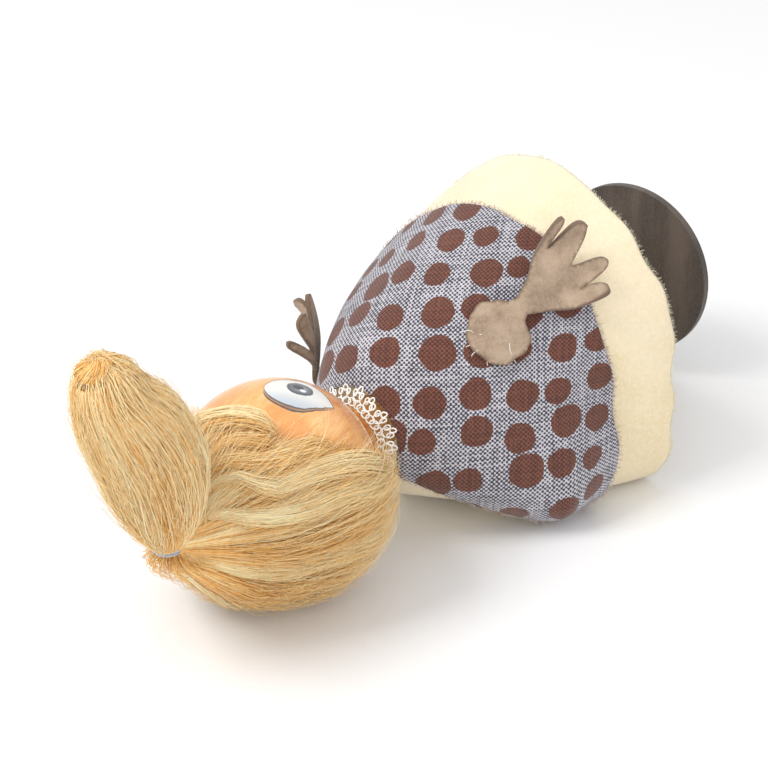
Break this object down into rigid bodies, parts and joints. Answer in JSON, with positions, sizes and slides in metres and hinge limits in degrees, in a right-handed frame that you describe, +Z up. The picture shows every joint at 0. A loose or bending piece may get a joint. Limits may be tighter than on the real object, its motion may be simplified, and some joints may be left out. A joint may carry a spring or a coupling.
{
  "type": "moving mouth puppet",
  "caption": "Rod puppet lying on its back: wooden ball head with flax hair and slot jaw, dotted cape over a felt skirt, leather hands and foot disc",
  "frame": {"origin": "centre of the whole puppet's box on the plane it lies on", "axes": "+X from the crown along the stick to the foot disc, +Z up, the puppet lies on its back rolled 35 degrees towards its left"},
  "size_m": [0.2458, 0.1009, 0.098],
  "materials": {
    "turned_wood": "satin",
    "varnished_wood": "gloss",
    "stick_wood": "satin",
    "trigger_wood": "satin",
    "felt": "matte",
    "dotted_cotton": "matte",
    "lace": "matte",
    "suede": "matte",
    "thread": "matte",
    "tie_thread": "matte",
    "wire": "satin",
    "brown_leather": "matte",
    "flax": "matte"
  },
  "bodies": {
    "costume": {"neck_ring": "turned_wood", "felt_skirt": "felt", "dotted_cape": "dotted_cotton", "lace_collar": "lace", "right_cuff": "suede", "left_cuff": "suede", "cuff_stitches": "thread"},
    "head_and_stick": {"head_front": "varnished_wood", "head_back": "varnished_wood", "jaw_axle": "wire", "stick_tube": "stick_wood", "glue_ring": "turned_wood", "neck_stop": "turned_wood", "spring_collar": "turned_wood", "end_plug": "turned_wood", "base_disc": "brown_leather", "disc_washer": "wire", "disc_screw": "wire", "hair_mass": "flax", "topknot": "flax", "topknot_tip": "flax", "tip_tie": "tie_thread", "crown_tie": "thread", "return_spring": "wire"},
    "trigger": {"trigger_sleeve": "trigger_wood", "cross_pin": "wire", "pull_rod": "wire"},
    "jaw": {"jaw": "varnished_wood", "jaw_link_pin": "wire"},
    "right_hand": {"right_hand": "suede"},
    "left_hand": {"left_hand": "suede"}
  },
  "joints": [
    {"name": "head_turn", "type": "hinge", "parent": "costume", "child": "head_and_stick", "pos_m": [-0.02067, 0.00544, 0.034], "axis": [1, 0, 0], "range_deg": [-60, 60]},
    {"name": "trigger_pull", "type": "slide", "parent": "head_and_stick", "child": "trigger", "axis": [1, 0, 0], "range_m": [0, 0.0025], "stiffness_N_per_m": 300, "springref_m": -0.003, "deforming": ["return_spring"]},
    {"name": "jaw_swing", "type": "hinge", "parent": "head_and_stick", "child": "jaw", "pos_m": [-0.05167, -0.00144, 0.02417], "axis": [0, 0.8192, -0.5736], "range_deg": [0, 12.05]},
    {"name": "right_wrist", "type": "hinge", "parent": "costume", "child": "right_hand", "pos_m": [0.01863, -0.02356, 0.068], "axis": [0.0686, -0.6457, -0.7605], "range_deg": [-6, 40]},
    {"name": "left_wrist", "type": "hinge", "parent": "costume", "child": "left_hand", "pos_m": [0.00633, 0.04094, 0.029], "axis": [-0.8156, -0.5701, -0.0989], "range_deg": [-6, 40]}
  ],
  "couplings": [
    {"joint": "jaw_swing", "follows": "trigger_pull", "rad_per_m": 83.9}
  ]
}
